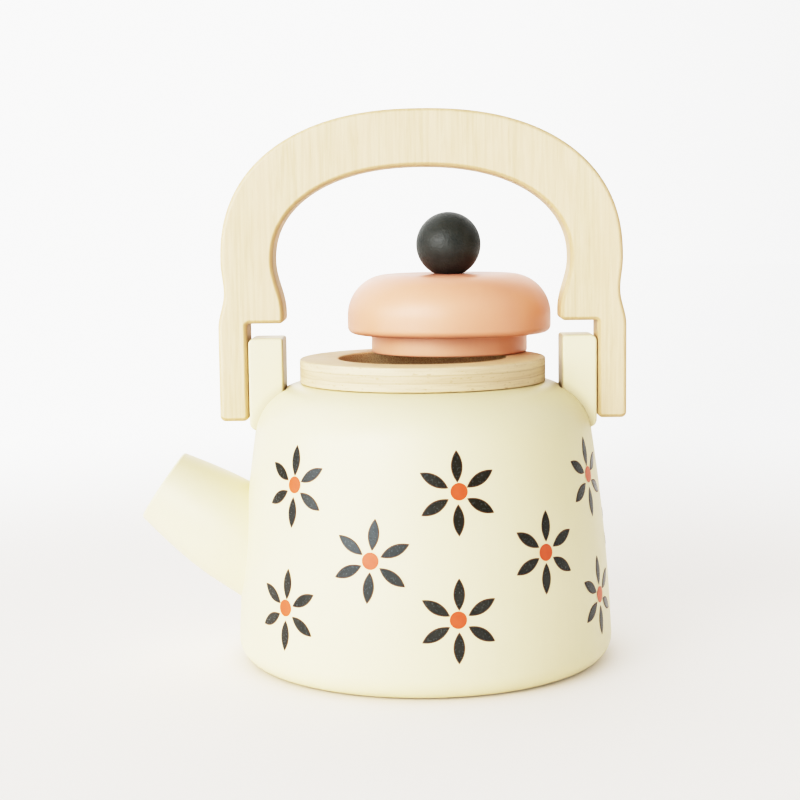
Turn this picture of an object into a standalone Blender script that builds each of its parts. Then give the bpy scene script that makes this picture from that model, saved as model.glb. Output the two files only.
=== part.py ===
"""Wooden toy kettle: a turned, hollow body with a spout, a plywood collar, a swinging handle and a lid.

Metres, +Z up. The origin is the centre of the base on the table. The spout points along -X, and the
handle swings about the X axis that runs through the two ears.
"""

import math

import bmesh
import bpy
from mathutils import Matrix, Vector
from mathutils.geometry import interpolate_bezier

# Fits and finish
CONTACT_GAP = 0.0003
EDGE_ROUND = 0.0006
DOWEL_CHAMFER = 0.0005

# Body, a tapered drum bored from the top
BODY_HEIGHT = 0.0860
BASE_RADIUS = 0.0583
TOP_RADIUS = 0.0522
SHOULDER_ROUND = 0.0170
BOTTOM_ROUND = 0.0070
WALL_BULGE_ANGLE = math.radians(2.2)
BORE_RADIUS = 0.0330
BORE_CORNER = 0.0030
FLOOR_THICKNESS = 0.0100

# Collar, a plywood ring on top of the body
COLLAR_RADIUS = 0.0380
COLLAR_HOLE_RADIUS = 0.0260
COLLAR_THICKNESS = 0.0070

# Ears, two blocks let into the shoulder
EAR_THICKNESS = 0.0105
EAR_SEAT_DEPTH = 0.0144
EAR_OVERHANG = 0.0012
EAR_ABOVE_PIVOT = 0.0130
EAR_ROUND = 0.0015
EAR_NOTCH = 0.0007
EAR_DOWEL_RADIUS = 0.0030
EAR_DOWEL_IN_EAR = 0.0075
EAR_DOWEL_BACKING = 0.0030

# Handle, one flat piece with an arch, two steps and two legs
PIVOT_RISE = 0.0010
PIVOT_RADIUS = 0.0040
PIVOT_BACKING = 0.0025
HANDLE_DEPTH = 0.0150
HANDLE_RISE = 0.0821
ARCH_SPRING = 0.0365
ARCH_FULLNESS = 2.3
GRIP_TOP_WIDTH = 0.0174
GRIP_SIDE_WIDTH = 0.0161
ARCH_INSET = 0.0011
WAIST_INSET = 0.0019
LEG_GAP = 0.0008
LEG_THICKNESS = 0.0087
LEG_DROP = 0.0125
STEP_OVERLAP = 0.0004
STEP_CLEARANCE = 0.0025
OUTLINE_CORNER = 0.0018
HANDLE_ROUND = 0.0018

# Spout, a barrel-shaped cone on the left flank
SPOUT_ANGLE = math.radians(34.0)
SPOUT_ROOT_HEIGHT = 0.0369
SPOUT_LENGTH = 0.0309
SPOUT_TIP_RADIUS = 0.0121
SPOUT_ROOT_RADIUS = 0.0160
SPOUT_TIP_ROUND = 0.0010
SPOUT_DOWEL_RADIUS = 0.0060
SPOUT_DOWEL_LENGTH = 0.0320

# Lid, a domed cap with a plug disc and a ball knob, laid off centre on the collar
CAP_RADIUS = 0.0325
CAP_HEIGHT = 0.0184
CAP_TOP_ROUND = 0.0130
CAP_BOTTOM_ROUND = 0.0022
PLUG_CLEARANCE = 0.0011
PLUG_HEIGHT = 0.0062
KNOB_RADIUS = 0.0100
KNOB_FLAT_RADIUS = 0.0044
KNOB_DOWEL_RADIUS = 0.0030
KNOB_DOWEL_IN_KNOB = 0.0100
LID_SIDE_GAP = 0.0011
LID_SHIFT_BACK = 0.0189

# Facets
BODY_SEGMENTS = 72
LID_SEGMENTS = 56
SPOUT_SEGMENTS = 48
BALL_SEGMENTS = 32
DOWEL_SEGMENTS = 24
ARC_STEP_ANGLE = math.radians(13.0)
EDGE_STEP_ANGLE = math.radians(45.0)
ARCH_STEPS = 20
BLEND_STEPS = 7
ROUND_SEGMENTS = 2


# Scene helpers


def clear_scene():
    for item in list(bpy.data.objects):
        bpy.data.objects.remove(item, do_unlink=True)


def new_collection(name):
    collection = bpy.data.collections.new(name)
    bpy.context.scene.collection.children.link(collection)
    return collection


def new_material(name, colour, roughness):
    material = bpy.data.materials.new(name)
    material.use_nodes = True
    shader = material.node_tree.nodes["Principled BSDF"]
    shader.inputs["Base Color"].default_value = (*colour, 1.0)
    shader.inputs["Roughness"].default_value = roughness
    shader.inputs["Metallic"].default_value = 0.0
    return material


def new_object(name, mesh, collection, material=None):
    item = bpy.data.objects.new(name, mesh)
    collection.objects.link(item)
    if material:
        mesh.materials.append(material)
    return item


def new_empty(name, collection, location):
    empty = bpy.data.objects.new(name, None)
    empty.location = location
    empty.empty_display_size = 0.01
    collection.objects.link(empty)
    return empty


def as_cutter(item):
    item.hide_render = True
    item.display_type = "WIRE"
    return item


def cut(item, cutter):
    modifier = item.modifiers.new(cutter.name, "BOOLEAN")
    modifier.operation = "DIFFERENCE"
    modifier.solver = "EXACT"
    modifier.object = cutter


def round_edges(item, width, segments=ROUND_SEGMENTS):
    modifier = item.modifiers.new("rounded_edges", "BEVEL")
    modifier.width = width
    modifier.segments = segments
    modifier.limit_method = "ANGLE"
    modifier.angle_limit = math.radians(50.0)


def shade_smooth(mesh):
    mesh.shade_smooth()
    mesh.set_sharp_from_angle(angle=math.radians(40.0))


# Shape helpers


def arc(centre, radius, start, end, step=ARC_STEP_ANGLE):
    """Points of an arc in a profile plane, angles in radians from the first axis."""
    steps = max(2, math.ceil(abs(end - start) / step - 0.01))
    points = []
    for index in range(steps + 1):
        angle = start + (end - start) * index / steps
        points.append((centre[0] + radius * math.cos(angle), centre[1] + radius * math.sin(angle)))
    return points


def rounded_corner(before, corner, after, radius):
    """Points of a round that is tangent to the two straight runs that meet at a corner."""
    corner = Vector(corner)
    to_before = (Vector(before) - corner).normalized()
    to_after = (Vector(after) - corner).normalized()
    half = to_before.angle(to_after) / 2
    reach = radius / math.tan(half)
    centre = corner + (to_before + to_after).normalized() * radius / math.sin(half)
    first = corner + to_before * reach - centre
    last = corner + to_after * reach - centre
    start = math.atan2(first.y, first.x)
    sweep = math.atan2(first.x * last.y - first.y * last.x, first.dot(last))
    return arc(centre, radius, start, start + sweep, EDGE_STEP_ANGLE)


def without_repeats(points):
    """The same points with neighbours that coincide dropped."""
    kept = []
    for point in points:
        if not kept or math.dist(point, kept[-1]) > 1e-7:
            kept.append(point)
    return kept


def turned(name, profile, collection, material=None, segments=BODY_SEGMENTS, closed=False):
    """A solid of revolution about its own Z. The profile runs down its outer side."""
    profile = without_repeats(profile)
    mesh = bpy.data.meshes.new(name)
    points = [(radius, 0.0, height) for radius, height in profile]
    edges = [(index, index + 1) for index in range(len(points) - 1)]
    if closed:
        edges.append((len(points) - 1, 0))
    mesh.from_pydata(points, edges, [])
    item = new_object(name, mesh, collection, material)
    screw = item.modifiers.new("turned", "SCREW")
    screw.axis = "Z"
    screw.angle = 2 * math.pi
    screw.steps = segments
    screw.render_steps = segments
    screw.use_merge_vertices = True
    screw.merge_threshold = 0.00001
    screw.use_smooth_shade = True
    return item


def turned_ring(name, inner, outer, low, high, edge, collection, material, segments):
    """A turned disc with a hole and four rounded edges."""
    right, left = outer - edge, inner + edge
    profile = arc((left, high - edge), edge, math.pi, math.pi / 2, EDGE_STEP_ANGLE)
    profile += arc((right, high - edge), edge, math.pi / 2, 0.0, EDGE_STEP_ANGLE)
    profile += arc((right, low + edge), edge, 0.0, -math.pi / 2, EDGE_STEP_ANGLE)
    profile += arc((left, low + edge), edge, -math.pi / 2, -math.pi, EDGE_STEP_ANGLE)
    return turned(name, profile, collection, material, segments, closed=True)


def rod(name, radius, start, end, collection, material=None, chamfer=0.0):
    """A round rod between two points."""
    start, end = Vector(start), Vector(end)
    mesh = bpy.data.meshes.new(name)
    shape = bmesh.new()
    bmesh.ops.create_cone(
        shape,
        cap_ends=True,
        segments=DOWEL_SEGMENTS,
        radius1=radius,
        radius2=radius,
        depth=(end - start).length,
    )
    shape.to_mesh(mesh)
    shape.free()
    shade_smooth(mesh)
    item = new_object(name, mesh, collection, material)
    item.rotation_euler = (end - start).to_track_quat("Z", "Y").to_euler()
    item.location = (start + end) / 2
    if chamfer:
        round_edges(item, chamfer, segments=1)
    return item


def block(name, low, high, collection, material=None):
    """A box between two corners, with its origin at its middle."""
    low, high = Vector(low), Vector(high)
    mesh = bpy.data.meshes.new(name)
    shape = bmesh.new()
    bmesh.ops.create_cube(shape, size=1.0, matrix=Matrix.Diagonal((*(high - low), 1.0)))
    shape.to_mesh(mesh)
    shape.free()
    item = new_object(name, mesh, collection, material)
    item.location = (low + high) / 2
    return item


def put_under(parent, items):
    """Parent the items and keep their places in the world."""
    bpy.context.view_layer.update()
    for item in items:
        place = item.matrix_world.copy()
        item.parent = parent
        item.matrix_world = place


# Body


def wall_outline(grow=0.0):
    """The outer side from the top flat to the bottom flat, moved out by grow."""
    taper = math.atan((BASE_RADIUS - TOP_RADIUS) / (BODY_HEIGHT - SHOULDER_ROUND - BOTTOM_ROUND))
    shoulder_end = taper + WALL_BULGE_ANGLE
    bottom_start = taper - WALL_BULGE_ANGLE
    shoulder = arc(
        (TOP_RADIUS - SHOULDER_ROUND, BODY_HEIGHT - SHOULDER_ROUND),
        SHOULDER_ROUND + grow,
        math.pi / 2,
        shoulder_end,
    )
    bottom = arc(
        (BASE_RADIUS - BOTTOM_ROUND, BOTTOM_ROUND),
        BOTTOM_ROUND + grow,
        bottom_start,
        -math.pi / 2,
    )
    first, last = Vector(shoulder[-1]), Vector(bottom[0])
    reach = (last - first).length / 3
    leave = first + reach * Vector((math.sin(shoulder_end), -math.cos(shoulder_end)))
    arrive = last + reach * Vector((-math.sin(bottom_start), math.cos(bottom_start)))
    wall = [tuple(point) for point in interpolate_bezier(first, leave, arrive, last, BLEND_STEPS)]
    return shoulder + wall[1:-1] + bottom


def body_radius_at(height):
    outline = wall_outline()
    for upper, lower in zip(outline, outline[1:]):
        if lower[1] <= height <= upper[1]:
            share = (upper[1] - height) / (upper[1] - lower[1])
            return upper[0] + share * (lower[0] - upper[0])
    return TOP_RADIUS


def make_body(collection, material):
    bore = [(0.0, FLOOR_THICKNESS)]
    corner = (BORE_RADIUS - BORE_CORNER, FLOOR_THICKNESS + BORE_CORNER)
    bore += arc(corner, BORE_CORNER, -math.pi / 2, 0.0, EDGE_STEP_ANGLE)
    bore += [(BORE_RADIUS, BODY_HEIGHT)]
    return turned("body", bore + wall_outline() + [(0.0, 0.0)], collection, material)


def body_envelope(collection):
    """The body's outer shape without its bore, one contact gap larger."""
    profile = [(0.0, BODY_HEIGHT + CONTACT_GAP)]
    profile += wall_outline(CONTACT_GAP)
    profile += [(0.0, -CONTACT_GAP)]
    return as_cutter(turned("body_envelope", profile, collection))


# Levels and places shared by the pieces

COLLAR_BOTTOM = BODY_HEIGHT + CONTACT_GAP
COLLAR_TOP = COLLAR_BOTTOM + COLLAR_THICKNESS
PIVOT_HEIGHT = BODY_HEIGHT + PIVOT_RISE
EAR_BOTTOM = BODY_HEIGHT - EAR_SEAT_DEPTH
EAR_TOP = PIVOT_HEIGHT + EAR_ABOVE_PIVOT
EAR_OUTER = body_radius_at(EAR_BOTTOM) + EAR_OVERHANG
EAR_INNER = EAR_OUTER - EAR_THICKNESS
LEG_INNER = EAR_OUTER + LEG_GAP
LEG_OUTER = LEG_INNER + LEG_THICKNESS
STEP_INNER = EAR_INNER - STEP_OVERLAP
STEP_RISE = math.hypot(EAR_ABOVE_PIVOT, HANDLE_DEPTH / 2) + STEP_CLEARANCE
LID_BOTTOM = COLLAR_TOP + CONTACT_GAP
LID_SHIFT_RIGHT = STEP_INNER - CAP_RADIUS - LID_SIDE_GAP


# Collar


def make_collar(collection, material):
    return turned_ring(
        "collar_ring",
        COLLAR_HOLE_RADIUS,
        COLLAR_RADIUS,
        COLLAR_BOTTOM,
        COLLAR_TOP,
        EDGE_ROUND,
        collection,
        material,
        BODY_SEGMENTS,
    )


# Ears with their dowels and pivots


def ear_dowel_ends(sign):
    height = (EAR_BOTTOM + PIVOT_HEIGHT - PIVOT_RADIUS) / 2
    return (
        Vector((sign * (BORE_RADIUS + EAR_DOWEL_BACKING), 0.0, height)),
        Vector((sign * (EAR_INNER + EAR_DOWEL_IN_EAR), 0.0, height)),
    )


def pivot_ends(sign):
    return (
        Vector((sign * (EAR_INNER + PIVOT_BACKING), 0.0, PIVOT_HEIGHT)),
        Vector((sign * (LEG_OUTER - CONTACT_GAP), 0.0, PIVOT_HEIGHT)),
    )


def rod_hole(name, radius, ends, collection, past=(0.0, 0.0)):
    """A cutter round a rod, one contact gap larger, which runs on past either end."""
    start, end = ends
    along = (end - start).normalized()
    start = start - along * (CONTACT_GAP + past[0])
    end = end + along * (CONTACT_GAP + past[1])
    return as_cutter(rod(name, radius + CONTACT_GAP, start, end, collection))


def make_ear(side, sign, body, parts, cutters, paint, wood):
    inner, outer = sorted((sign * EAR_INNER, sign * EAR_OUTER))
    half = HANDLE_DEPTH / 2
    ear = block("ear_" + side, (inner, -half, EAR_BOTTOM), (outer, half, EAR_TOP), parts, paint)
    round_edges(ear, EAR_ROUND)

    slot_near = sign * (EAR_INNER - EAR_NOTCH)
    slot_far = sign * (EAR_OUTER + BASE_RADIUS)
    slot_low, slot_high = sorted((slot_near, slot_far))
    slot = block(
        "ear_slot_" + side,
        (slot_low, -half - CONTACT_GAP, EAR_BOTTOM - CONTACT_GAP),
        (slot_high, half + CONTACT_GAP, EAR_TOP + CONTACT_GAP),
        cutters,
    )
    cut(body, as_cutter(slot))

    dowel_ends = ear_dowel_ends(sign)
    dowel = rod("ear_dowel_" + side, EAR_DOWEL_RADIUS, *dowel_ends, parts, wood, DOWEL_CHAMFER)
    dowel_hole = rod_hole("ear_dowel_hole_" + side, EAR_DOWEL_RADIUS, dowel_ends, cutters)
    cut(body, dowel_hole)
    cut(ear, dowel_hole)

    ends = pivot_ends(sign)
    pivot = rod("pivot_dowel_" + side, PIVOT_RADIUS, *ends, parts, wood, DOWEL_CHAMFER)
    pivot_hole = rod_hole("pivot_hole_" + side, PIVOT_RADIUS, ends, cutters, (0.0, LEG_THICKNESS))
    cut(ear, pivot_hole)
    return [ear, dowel, pivot], pivot_hole


# Handle


def superellipse(width, height, steps):
    """A quarter of the arch, from its crown to its springing."""
    points = []
    for index in range(steps + 1):
        angle = math.pi / 2 * (1 - index / steps)
        across = max(0.0, math.cos(angle)) ** (2 / ARCH_FULLNESS)
        up = max(0.0, math.sin(angle)) ** (2 / ARCH_FULLNESS)
        points.append((width * across, ARCH_SPRING + height * up))
    return points


def blend(start, end):
    """An S-shaped run between two points that leaves and arrives upright."""
    points = []
    for index in range(BLEND_STEPS + 1):
        share = index / BLEND_STEPS
        swing = (1 - math.cos(math.pi * share)) / 2
        points.append((start[0] + (end[0] - start[0]) * swing, start[1] + (end[1] - start[1]) * share))
    return points


def handle_outline():
    """The right half about the pivot, from the crown down the outside and back up the inside."""
    arch_outer = LEG_OUTER - ARCH_INSET
    arch_inner = arch_outer - GRIP_SIDE_WIDTH
    waist = (LEG_OUTER - WAIST_INSET, (ARCH_SPRING + STEP_RISE) / 2)
    leg_start = (LEG_OUTER, STEP_RISE - OUTLINE_CORNER)
    toe_outer = (LEG_OUTER, -LEG_DROP)
    toe_inner = (LEG_INNER, -LEG_DROP)
    step_root = (LEG_INNER, STEP_RISE)
    step_nose = (STEP_INNER, STEP_RISE)
    inner_start = (STEP_INNER, STEP_RISE + 2 * OUTLINE_CORNER)

    outside = superellipse(arch_outer, HANDLE_RISE - ARCH_SPRING, ARCH_STEPS)
    outside += blend(outside[-1], waist)
    outside += blend(waist, leg_start)
    outside += rounded_corner(leg_start, toe_outer, toe_inner, OUTLINE_CORNER)
    inside = superellipse(arch_inner, HANDLE_RISE - ARCH_SPRING - GRIP_TOP_WIDTH, ARCH_STEPS)
    inside += blend(inside[-1], inner_start)
    inside += rounded_corner(inner_start, step_nose, step_root, OUTLINE_CORNER)
    inside += rounded_corner(step_nose, step_root, toe_inner, EDGE_ROUND)
    inside += rounded_corner(step_root, toe_inner, toe_outer, OUTLINE_CORNER)
    return without_repeats(outside), without_repeats(inside)


def flat_piece(name, outline, depth, collection, material):
    """An upright flat piece: an outline in X and Z, thick along Y, centred on its own origin."""
    curve = bpy.data.curves.new(name, "CURVE")
    curve.dimensions = "2D"
    curve.fill_mode = "BOTH"
    curve.extrude = depth / 2
    spline = curve.splines.new("POLY")
    spline.points.add(len(outline) - 1)
    for point, (across, up) in zip(spline.points, outline):
        point.co = (across, up, 0.0, 1.0)
    spline.use_cyclic_u = True
    guide = bpy.data.objects.new(name + "_outline", curve)
    collection.objects.link(guide)
    guide.rotation_euler = (math.pi / 2, 0.0, 0.0)
    bpy.context.view_layer.update()

    graph = bpy.context.evaluated_depsgraph_get()
    mesh = bpy.data.meshes.new_from_object(guide.evaluated_get(graph))
    mesh.name = name
    shape = bmesh.new()
    shape.from_mesh(mesh)
    bmesh.ops.remove_doubles(shape, verts=shape.verts, dist=0.00001)
    bmesh.ops.dissolve_limit(shape, angle_limit=math.radians(1.0), verts=shape.verts, edges=shape.edges)
    bmesh.ops.recalc_face_normals(shape, faces=shape.faces)
    shape.to_mesh(mesh)
    shape.free()
    mesh.materials.clear()
    item = new_object(name, mesh, collection, material)
    item.matrix_world = guide.matrix_world.copy()
    bpy.data.objects.remove(guide, do_unlink=True)
    return item


def make_handle(parts, material, pivot_holes):
    outside, inside = handle_outline()
    right = outside + list(reversed(inside))
    left = [(-across, up) for across, up in reversed(right)]
    outline = without_repeats(right + left)[:-1]
    handle = flat_piece("handle_arch", outline, HANDLE_DEPTH, parts, material)
    handle.location = (0.0, 0.0, PIVOT_HEIGHT)
    round_edges(handle, HANDLE_ROUND)
    for hole in pivot_holes:
        cut(handle, hole)
    return handle


# Spout


def spout_frame():
    """The point where the spout's axis meets the flank, and the direction along it outwards."""
    root = Vector((-body_radius_at(SPOUT_ROOT_HEIGHT), 0.0, SPOUT_ROOT_HEIGHT))
    along = Vector((-math.cos(SPOUT_ANGLE), 0.0, math.sin(SPOUT_ANGLE)))
    return root, along


def make_spout(body, envelope, parts, cutters, paint, wood):
    root, along = spout_frame()
    buried = SPOUT_ROOT_RADIUS * math.tan(SPOUT_ANGLE) - SPOUT_ROOT_RADIUS**2 / root.x
    profile = [(0.0, SPOUT_LENGTH)]
    edge_centre = (SPOUT_TIP_RADIUS - SPOUT_TIP_ROUND, SPOUT_LENGTH - SPOUT_TIP_ROUND)
    profile += arc(edge_centre, SPOUT_TIP_ROUND, math.pi / 2, 0.0, EDGE_STEP_ANGLE)
    barrel_length = SPOUT_LENGTH - SPOUT_TIP_ROUND
    for index in range(1, BLEND_STEPS + 1):
        share = index / BLEND_STEPS
        swell = math.sin(share * math.pi / 2)
        radius = SPOUT_TIP_RADIUS + (SPOUT_ROOT_RADIUS - SPOUT_TIP_RADIUS) * swell
        profile.append((radius, barrel_length * (1 - share)))
    profile += [(SPOUT_ROOT_RADIUS, -buried), (0.0, -buried)]
    spout = turned("spout", profile, parts, paint, SPOUT_SEGMENTS)
    spout.rotation_euler = along.to_track_quat("Z", "Y").to_euler()
    spout.location = root
    cut(spout, envelope)

    ends = (root - along * SPOUT_DOWEL_LENGTH / 2, root + along * SPOUT_DOWEL_LENGTH / 2)
    dowel = rod("spout_dowel", SPOUT_DOWEL_RADIUS, *ends, parts, wood, DOWEL_CHAMFER)
    hole = rod_hole("spout_dowel_hole", SPOUT_DOWEL_RADIUS, ends, cutters)
    cut(spout, hole)
    cut(body, hole)
    return [spout, dowel]


# Lid


def make_lid(parts, paint, dark_paint, wood):
    plug_top = PLUG_HEIGHT
    cap_bottom = plug_top + CONTACT_GAP
    cap_top = cap_bottom + CAP_HEIGHT
    hole = KNOB_DOWEL_RADIUS + CONTACT_GAP

    plug_radius = COLLAR_HOLE_RADIUS - PLUG_CLEARANCE
    plug = turned_ring("lid_plug", hole, plug_radius, 0.0, plug_top, EDGE_ROUND, parts, paint, LID_SEGMENTS)

    profile = [(hole, cap_top)]
    profile += arc((CAP_RADIUS - CAP_TOP_ROUND, cap_top - CAP_TOP_ROUND), CAP_TOP_ROUND, math.pi / 2, 0.0)
    low_centre = (CAP_RADIUS - CAP_BOTTOM_ROUND, cap_bottom + CAP_BOTTOM_ROUND)
    profile += arc(low_centre, CAP_BOTTOM_ROUND, 0.0, -math.pi / 2, EDGE_STEP_ANGLE)
    profile += [(hole, cap_bottom)]
    cap = turned("lid_cap", profile, parts, paint, LID_SEGMENTS, closed=True)

    seat = cap_top + CONTACT_GAP
    flat_angle = -math.acos(KNOB_FLAT_RADIUS / KNOB_RADIUS)
    centre = seat - KNOB_RADIUS * math.sin(flat_angle)
    dowel_end = seat + KNOB_DOWEL_IN_KNOB
    profile = arc((0.0, centre), KNOB_RADIUS, math.pi / 2, flat_angle)
    profile[0] = (0.0, centre + KNOB_RADIUS)
    profile += [(hole, seat), (hole, dowel_end + CONTACT_GAP), (0.0, dowel_end + CONTACT_GAP)]
    knob = turned("lid_knob", profile, parts, dark_paint, BALL_SEGMENTS)

    ends = ((0.0, 0.0, 0.0), (0.0, 0.0, dowel_end))
    dowel = rod("knob_dowel", KNOB_DOWEL_RADIUS, *ends, parts, wood, DOWEL_CHAMFER)
    return [plug, cap, knob, dowel]


# Assembly


def build():
    clear_scene()
    parts = new_collection("toy_kettle")
    cutters = new_collection("toy_kettle_cutters")
    cream = new_material("cream_paint", (0.86, 0.83, 0.70), 0.45)
    peach = new_material("peach_paint", (0.80, 0.47, 0.28), 0.45)
    charcoal = new_material("charcoal_paint", (0.05, 0.055, 0.052), 0.45)
    plywood = new_material("plywood", (0.74, 0.64, 0.45), 0.60)
    beech = new_material("pale_wood", (0.80, 0.70, 0.52), 0.55)
    dowel_wood = new_material("dowel_wood", (0.62, 0.42, 0.22), 0.65)

    body = make_body(parts, cream)
    fixed = [body, make_collar(parts, plywood)]
    pivot_holes = []
    for side, sign in (("left", -1.0), ("right", 1.0)):
        pieces, pivot_hole = make_ear(side, sign, body, parts, cutters, cream, dowel_wood)
        fixed += pieces
        pivot_holes.append(pivot_hole)
    envelope = body_envelope(cutters)
    fixed += make_spout(body, envelope, parts, cutters, cream, dowel_wood)
    put_under(new_empty("kettle_base", parts, (0.0, 0.0, 0.0)), fixed)

    handle = make_handle(parts, beech, pivot_holes)
    put_under(new_empty("handle_pivot", parts, (0.0, 0.0, PIVOT_HEIGHT)), [handle])

    lid_pieces = make_lid(parts, peach, charcoal, dowel_wood)
    lid_seat = new_empty("lid_seat", parts, (LID_SHIFT_RIGHT, LID_SHIFT_BACK, LID_BOTTOM))
    for piece in lid_pieces:
        piece.parent = lid_seat


build()
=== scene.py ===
"""Looks of the wooden toy kettle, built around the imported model.

Lengths are in metres. +Z is up, the front is -Y and the spout points to -X.
"""

import math

import bmesh
import bpy
from mathutils import Matrix, Vector


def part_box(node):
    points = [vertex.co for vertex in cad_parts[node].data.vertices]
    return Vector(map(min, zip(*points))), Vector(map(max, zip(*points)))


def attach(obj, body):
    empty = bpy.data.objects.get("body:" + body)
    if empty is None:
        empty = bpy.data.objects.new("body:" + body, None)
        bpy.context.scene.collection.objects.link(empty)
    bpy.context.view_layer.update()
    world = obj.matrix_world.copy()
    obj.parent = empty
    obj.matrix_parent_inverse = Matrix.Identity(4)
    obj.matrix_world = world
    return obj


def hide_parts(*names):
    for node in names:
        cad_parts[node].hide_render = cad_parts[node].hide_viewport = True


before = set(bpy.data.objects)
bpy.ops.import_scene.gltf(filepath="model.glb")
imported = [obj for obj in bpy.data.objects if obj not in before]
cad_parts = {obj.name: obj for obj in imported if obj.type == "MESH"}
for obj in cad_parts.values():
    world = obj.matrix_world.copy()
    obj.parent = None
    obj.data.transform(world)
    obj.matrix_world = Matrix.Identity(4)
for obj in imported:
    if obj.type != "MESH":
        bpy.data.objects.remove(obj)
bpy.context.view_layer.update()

# Sizes: most are the solids' own, and some are fitted closer to the photograph, by 1 mm or less

# Body
BODY_HEIGHT = 0.0860
BASE_RADIUS = 0.0583
TOP_RADIUS = 0.0522
SHOULDER_ROUND = 0.0170
BOTTOM_ROUND = 0.0070
WALL_BULGE_ANGLE = math.radians(3.1)
BORE_RADIUS = 0.0330
BORE_CORNER = 0.0030
BORE_CHAMFER = 0.0005
FLOOR_THICKNESS = 0.0100

# Collar
COLLAR_RADIUS = 0.0380
COLLAR_HOLE_RADIUS = 0.0260
COLLAR_BOTTOM = 0.0860
COLLAR_TOP = 0.0933
COLLAR_EDGE_ROUND = 0.0006
COLLAR_SEAT_ROUND = 0.00025

# Ears and their slots in the body
EAR_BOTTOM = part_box("ear_right")[0].z
EAR_TOP = 0.1000
EAR_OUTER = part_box("ear_right")[1].x
EAR_PROUD = 0.0002
EAR_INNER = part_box("ear_right")[0].x
EAR_NOTCH = 0.0007
EAR_OUTER_CORNER = 0.0018
EAR_INNER_CORNER = 0.0009
EAR_TOE_CORNER = 0.0024
EAR_ROUND = 0.0008
SLOT_SIDE_GAP = 0.0001
SLOT_FLOOR_RISE = 0.0001
SLOT_PAST_EAR = 0.02
SLOT_PAST_TOP = 0.01

# Handle, with heights from its pivots
PIVOT_HEIGHT = 0.0870
PIVOT_HOLE_RADIUS = 0.0043
PIVOT_HOLE_PAST_LEG = 0.002
HANDLE_DEPTH = 0.0150
HANDLE_RISE = 0.0821
ARCH_SPRING = 0.0365
ARCH_FULLNESS = 2.3
GRIP_FULLNESS = 2.2
GRIP_TOP_WIDTH = 0.0174
GRIP_SIDE_WIDTH = 0.0161
ARCH_INSET = 0.0011
WAIST_INSET = 0.0019
LEG_GAP = 0.0004
LEG_THICKNESS = 0.0089
LEG_INNER = EAR_OUTER + LEG_GAP
LEG_OUTER = LEG_INNER + LEG_THICKNESS
LEG_DROP = 0.0125
STEP_OVERLAP = 0.0004
STEP_CLEARANCE = 0.0025
STEP_INNER = EAR_INNER - STEP_OVERLAP
STEP_RISE = math.hypot(EAR_TOP - PIVOT_HEIGHT, HANDLE_DEPTH / 2) + STEP_CLEARANCE
NOSE_CORNER = 0.0015
STEP_CORNER = 0.0007
TOE_CORNER = 0.0017
HANDLE_ROUND = 0.0014

# Spout
SPOUT_ANGLE = math.radians(34.0)
SPOUT_ROOT_HEIGHT = 0.0369
SPOUT_LENGTH = 0.0307
SPOUT_TIP_RADIUS = 0.0121
SPOUT_ROOT_RADIUS = 0.0160
SPOUT_TIP_ROUND = 0.0010
SPOUT_TIP_RING = 0.0016
SPOUT_BURIED = 0.0120

# Lid, with heights from the bottom of its plug
CAP_RADIUS = 0.0325
CAP_BOTTOM = 0.0062
CAP_TOP = 0.0249
CAP_TOP_ROUND = 0.0130
CAP_BOTTOM_ROUND = 0.0022
CAP_TOP_RINGS = (0.0, 0.004, 0.012)
CAP_SIDE_RING = 0.0030
CAP_BOTTOM_RING = 0.026
PLUG_RADIUS = 0.0249
PLUG_EDGE_ROUND = 0.0007
PLUG_SIDE_RING = 0.0030
PLUG_BOTTOM_RING = 0.018
PLUG_IN_CAP = 0.0002
KNOB_RADIUS = 0.0103
KNOB_FLAT_RADIUS = 0.0036
KNOB_SEAT = 0.0246
KNOB_FLAT_CHAMFER = 0.0002
LID_BOTTOM = 0.0934
LID_SIDE_GAP = 0.0011
LID_SHIFT_BACK = 0.0189
LID_PLACE = Vector((STEP_INNER - CAP_RADIUS - LID_SIDE_GAP, LID_SHIFT_BACK, LID_BOTTOM))

# Fineness of the meshes
BODY_SEGMENTS = 208
SPOUT_SEGMENTS = 112
COLLAR_SEGMENTS = 160
CAP_SEGMENTS = 160
PLUG_SEGMENTS = 144
KNOB_SEGMENTS = 96
HOLE_SEGMENTS = 48
FLOOR_SEGMENTS = 64
SHOULDER_STEPS = 28
WALL_STEPS = 44
BOTTOM_STEPS = 20
SPOUT_STEPS = 36
ARCH_STEPS = 56
WAIST_STEPS = 14
INNER_WAIST_STEPS = 18
CAP_TOP_STEPS = 30
CAP_BOTTOM_STEPS = 10
KNOB_STEPS = 56
CORNER_STEPS = 8
RIM_STEPS = 8
ROUND_STEPS = 7
EDGE_STEPS = 6
SEAT_STEPS = 4
SAME_PLACE = 1e-7


# Shape helpers


def added(name, data):
    """A new object in the scene."""
    item = bpy.data.objects.new(name, data)
    bpy.context.scene.collection.objects.link(item)
    return item


def arc(centre, radius, start, end, steps):
    """Points of a circle from one angle to another."""
    points = []
    for index in range(steps + 1):
        angle = start + (end - start) * index / steps
        points.append((centre[0] + radius * math.cos(angle), centre[1] + radius * math.sin(angle)))
    return points


def without_repeats(points):
    kept = []
    for point in points:
        if not kept or math.dist(point, kept[-1]) > SAME_PLACE:
            kept.append(point)
    return kept


def new_piece(name, points, faces, sharp_angle=40.0):
    """A mesh object with outward faces, smooth apart from edges sharper than an angle in degrees."""
    mesh = bpy.data.meshes.new(name)
    mesh.from_pydata([tuple(point) for point in points], [], faces)
    shape = bmesh.new()
    shape.from_mesh(mesh)
    bmesh.ops.recalc_face_normals(shape, faces=shape.faces)
    shape.to_mesh(mesh)
    shape.free()
    mesh.shade_smooth()
    mesh.set_sharp_from_angle(angle=math.radians(sharp_angle))
    return added(name, mesh)


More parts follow.
